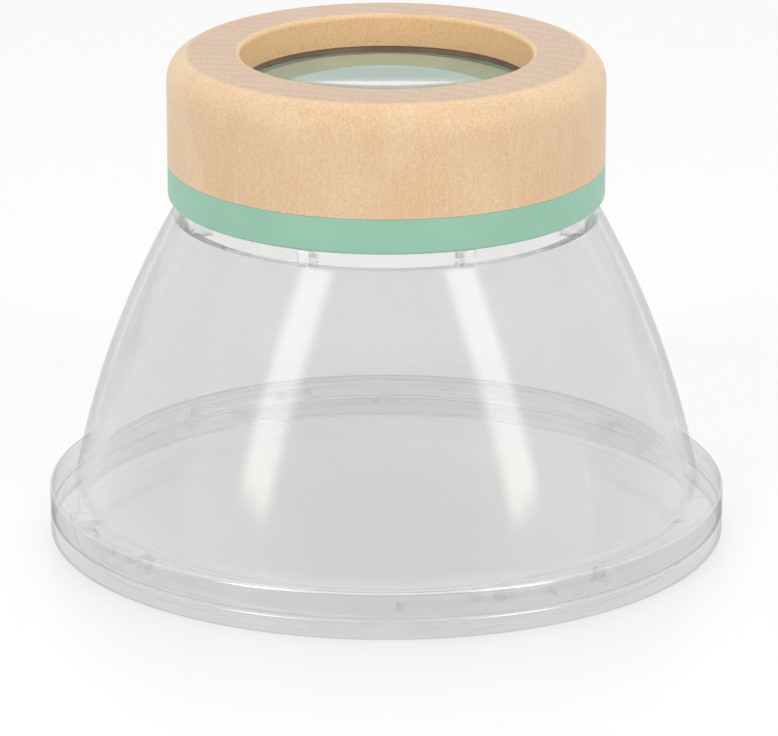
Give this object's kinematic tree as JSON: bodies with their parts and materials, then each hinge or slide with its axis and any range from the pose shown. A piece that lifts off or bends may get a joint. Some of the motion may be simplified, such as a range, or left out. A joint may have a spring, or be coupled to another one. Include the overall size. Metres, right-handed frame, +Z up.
{
  "type": "bug viewer",
  "caption": "Clear bell-shaped bug viewer with a magnifying lens in a turned wooden collar, air windows under the collar and a base plate that twists off.",
  "frame": {"origin": "centre of the base plate's underside, on the surface that the viewer stands on", "axes": "+Z up along the axis of every round piece, -Y towards the front that the picture shows, +X to its right"},
  "size_m": [0.13, 0.13, 0.0942],
  "materials": {
    "clear_plastic": "clear, polished",
    "green_plastic": "smooth satin",
    "pale_wood": "sanded, clear matt varnish",
    "lens_plastic": "clear, polished",
    "seal_rubber": "matt",
    "screw_steel": "zinc plated"
  },
  "bodies": {
    "base": {"base_plate": "clear_plastic"},
    "top": {"viewing_dome": "clear_plastic", "green_ring": "green_plastic", "wood_collar": "pale_wood", "magnifier_lens": "lens_plastic", "lens_seal": "seal_rubber", "screw_1": "screw_steel", "screw_2": "screw_steel", "screw_3": "screw_steel", "screw_4": "screw_steel"}
  },
  "joints": [
    {"name": "dome_twist", "type": "hinge", "parent": "base", "child": "top", "pos_m": [0, 0, 0], "axis": [0, 0, 1], "range_deg": [0, 39.3]}
  ]
}
